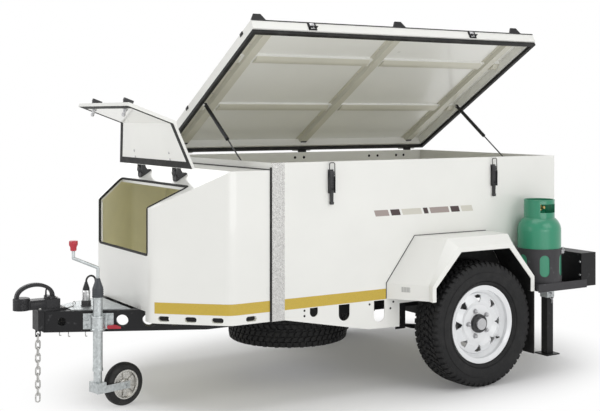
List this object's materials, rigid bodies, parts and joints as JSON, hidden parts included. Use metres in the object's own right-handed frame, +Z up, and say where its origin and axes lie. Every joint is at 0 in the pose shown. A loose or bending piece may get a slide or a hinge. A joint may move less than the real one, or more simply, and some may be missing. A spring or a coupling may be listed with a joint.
{
  "type": "off-road camper trailer",
  "caption": "Single-axle off-road camper trailer: hard-sided tub under a side-hinged lid, tapered nose locker with hatch, jockey wheel, drop-down rear legs and gas bottles.",
  "frame": {"origin": "on the ground, under the middle of the overall length and width", "axes": "+X forward along the towing direction, +Y to the left, +Z up"},
  "size_m": [3.2326, 1.784, 1.9914],
  "materials": {
    "white_paint": "gloss warm white paint",
    "liner_paint": "matt grey-beige liner",
    "black_steel": "satin black powder coat",
    "galvanised": "mottled galvanised zinc",
    "black_rubber": "matt black rubber",
    "black_plastic": "textured black plastic",
    "tread_plate": "bright chequer plate",
    "tyre_rubber": "all-terrain tyre",
    "rim_white": "gloss white wheel paint",
    "cast_black": "black painted casting",
    "chain_zinc": "zinc plated chain",
    "plug_alloy": "die-cast plug shell",
    "red_plastic": "red moulded grip",
    "lamp_red": "red lamp lens",
    "plate_white": "blank number plate",
    "bottle_green": "green enamel",
    "holder_grey": "dark grey powder coat",
    "strut_black": "black strut tube",
    "rod_chrome": "hard chrome rod",
    "hub_steel": "dark hub with grey cap",
    "jockey_alloy": "cast spoke wheel"
  },
  "bodies": {
    "chassis": {"floor_panels": "liner_paint", "side_panels": "white_paint", "end_panels": "white_paint", "side_skirts": "white_paint", "corner_guards": "tread_plate", "nose_sides": "white_paint", "nose_front_panel": "white_paint", "nose_top_panel": "white_paint", "hatch_hinge_bases": "black_plastic", "lid_hinges": "black_steel", "lid_latches": "black_plastic", "spare_tyre": "tyre_rubber", "spare_rim": "rim_white", "spare_carrier": "black_steel", "axle_beam": "black_steel", "leaf_springs": "black_steel", "spring_hangers": "black_steel", "fenders": "white_paint", "mudflaps": "black_rubber", "rails": "black_steel", "drawbar_arms": "black_steel", "drawbar_head": "black_steel", "crossmembers": "black_steel", "drawbar_plate": "galvanised", "coupling": "cast_black", "safety_chain": "chain_zinc", "trailer_plug": "plug_alloy", "plug_lead": "black_rubber", "jockey_post": "galvanised", "jockey_boot": "black_plastic", "jockey_grips": "red_plastic", "rear_bumper": "black_steel", "tail_lamps": "lamp_red", "number_plate": "plate_white", "leg_sockets": "galvanised", "gas_bottles": "bottle_green", "bottle_holders": "holder_grey"},
    "lid": {"lid_tray": "white_paint", "lid_ribs": "white_paint", "lid_seal": "black_rubber", "lid_fittings": "black_steel"},
    "struts_upper": {"strut_tubes": "strut_black"},
    "struts_lower": {"strut_rods": "rod_chrome"},
    "hatch": {"hatch_door": "white_paint", "hatch_fittings": "black_plastic"},
    "wheel_left": {"tyre_left": "tyre_rubber", "rim_left": "rim_white", "hub_left": "hub_steel"},
    "wheel_right": {"tyre_right": "tyre_rubber", "rim_right": "rim_white", "hub_right": "hub_steel"},
    "jockey_leg": {"jockey_inner_tube": "galvanised"},
    "jockey_caster": {"jockey_fork": "galvanised"},
    "jockey_wheel": {"jockey_tyre": "black_rubber", "jockey_rim": "jockey_alloy"},
    "stand_left": {"leg_left": "black_steel"},
    "stand_right": {"leg_right": "black_steel"}
  },
  "joints": [
    {"name": "lid_hinge", "type": "hinge", "parent": "chassis", "child": "lid", "pos_m": [0, -0.645, 1.24], "axis": [1, 0, 0], "range_deg": [-30.5, 0]},
    {"name": "strut_pivot", "type": "hinge", "parent": "lid", "child": "struts_upper", "pos_m": [0, -0.192, 1.52309], "axis": [1, 0, 0], "range_deg": [0, 58.38]},
    {"name": "strut_slide", "type": "slide", "parent": "struts_upper", "child": "struts_lower", "axis": [0, 0.8135, -0.5815], "range_m": [-0.1827, 0]},
    {"name": "hatch_hinge", "type": "hinge", "parent": "chassis", "child": "hatch", "pos_m": [0.83425, 0, 1.167], "axis": [0, -1, 0], "range_deg": [-110, 0]},
    {"name": "wheel_left_spin", "type": "hinge", "parent": "chassis", "child": "wheel_left", "pos_m": [-0.68375, 0.76, 0.338], "axis": [0, 1, 0], "continuous": true},
    {"name": "wheel_right_spin", "type": "hinge", "parent": "chassis", "child": "wheel_right", "pos_m": [-0.68375, -0.76, 0.338], "axis": [0, 1, 0], "continuous": true},
    {"name": "jockey_lift", "type": "slide", "parent": "chassis", "child": "jockey_leg", "axis": [0, 0, 1], "range_m": [0, 0.05]},
    {"name": "jockey_swivel", "type": "hinge", "parent": "jockey_leg", "child": "jockey_caster", "pos_m": [1.24825, 0.188, 0.142], "axis": [0, 0, 1], "continuous": true},
    {"name": "jockey_spin", "type": "hinge", "parent": "jockey_caster", "child": "jockey_wheel", "pos_m": [1.10153, 0.15681, 0.108], "axis": [-0.2079, 0.9781, 0], "continuous": true},
    {"name": "stand_left_slide", "type": "slide", "parent": "chassis", "child": "stand_left", "axis": [0, 0, 1], "range_m": [0, 0.25]},
    {"name": "stand_right_slide", "type": "slide", "parent": "chassis", "child": "stand_right", "axis": [0, 0, 1], "range_m": [0, 0.25]}
  ],
  "couplings": [
    {"joint": "strut_pivot", "follows": "lid_hinge", "ratio": -1.8943},
    {"joint": "strut_slide", "follows": "lid_hinge", "m_per_rad": 0.33943}
  ]
}
